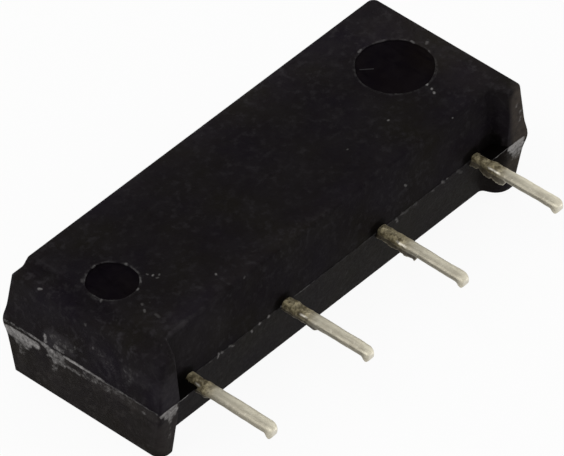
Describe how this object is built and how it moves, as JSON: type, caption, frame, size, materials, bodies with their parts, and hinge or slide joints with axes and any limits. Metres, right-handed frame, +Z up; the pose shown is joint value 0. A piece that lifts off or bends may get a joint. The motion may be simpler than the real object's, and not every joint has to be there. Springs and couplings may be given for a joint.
{
  "type": "reed relay",
  "caption": "Black moulded single-in-line reed relay lying on its large flat side, with a row of flat tinned pins and a sealed reed switch inside its coil.",
  "frame": {"origin": "centre of the resting face, which is the large flat side without the ejector marks, pins left out", "axes": "+X along the body from the end with the ledge, +Y from the pins to the back, +Z up from the resting face to the side with the ejector marks"},
  "size_m": [0.0196, 0.0109, 0.0051],
  "materials": {
    "moulding": "satin black thermoset, finely grained",
    "tinned_pin": "dull hot-dipped tin",
    "bobbin_plastic": "matt",
    "copper_wire": "enamelled copper wire",
    "solder": "bright solder",
    "capsule_glass": "clear green glass",
    "reed_metal": "nickel-iron, satin"
  },
  "bodies": {
    "relay": {"moulded_body": "moulding", "switch_pin_left": "tinned_pin", "coil_pin_left": "tinned_pin", "coil_pin_right": "tinned_pin", "switch_pin_right": "tinned_pin", "coil_bobbin": "bobbin_plastic", "coil_winding": "copper_wire", "coil_start_wire": "copper_wire", "coil_finish_wire": "copper_wire", "start_solder": "solder", "finish_solder": "solder", "glass_capsule": "capsule_glass"},
    "left_reed": {"left_reed": "reed_metal"},
    "right_reed": {"right_reed": "reed_metal"}
  },
  "joints": [
    {"name": "left_reed_close", "type": "hinge", "parent": "relay", "child": "left_reed", "pos_m": [-0.0039, 0.00055, 0.00259], "axis": [0, -1, 0], "range_deg": [0, 0.36], "stiffness_Nm_per_rad": 0.0002},
    {"name": "right_reed_close", "type": "hinge", "parent": "relay", "child": "right_reed", "pos_m": [0.0039, 0.00055, 0.00259], "axis": [0, -1, 0], "range_deg": [0, 0.36], "stiffness_Nm_per_rad": 0.0002}
  ],
  "couplings": [
    {"joint": "right_reed_close", "follows": "left_reed_close", "ratio": 1}
  ]
}
